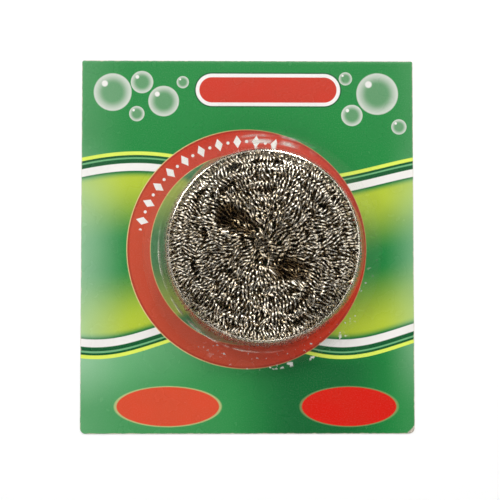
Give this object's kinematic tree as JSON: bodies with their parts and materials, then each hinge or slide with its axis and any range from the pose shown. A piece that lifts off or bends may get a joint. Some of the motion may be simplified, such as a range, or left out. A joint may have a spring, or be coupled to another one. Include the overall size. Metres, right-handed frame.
{
  "type": "pot scrubber",
  "caption": "Curled steel wire pot scrubber, loose under a clear round blister that is sealed off centre to a printed rectangular board card, lying on the card's back.",
  "frame": {"origin": "centre of the card's back face, which lies on the table", "axes": "+X to the card's right edge and +Y to its top edge as its print is read, +Z out of the printed face along the blister's axis"},
  "size_m": [0.13, 0.146, 0.0254],
  "materials": {
    "printed_board": "coated board with a gloss print, bare grey back",
    "seal_lacquer": "clear heat-seal lacquer",
    "clear_film": "clear glossy thermoformed film",
    "steel_wire": "bright drawn flat wire"
  },
  "bodies": {
    "card": {"backing_card": "printed_board", "seal_ring": "seal_lacquer"},
    "blister": {"blister": "clear_film"},
    "scrubber": {"back_strand": "steel_wire", "lower_strand": "steel_wire", "upper_strand": "steel_wire", "front_strand": "steel_wire", "tie_wire": "steel_wire"}
  },
  "joints": [
    {"name": "blister_lift", "type": "slide", "parent": "card", "child": "blister", "axis": [0, 0, 1], "range_m": [0, 0.03]},
    {"name": "scrubber_turn", "type": "hinge", "parent": "card", "child": "scrubber", "pos_m": [0.0057, -0.001, 0.012], "axis": [0, 0, 1], "continuous": true}
  ]
}
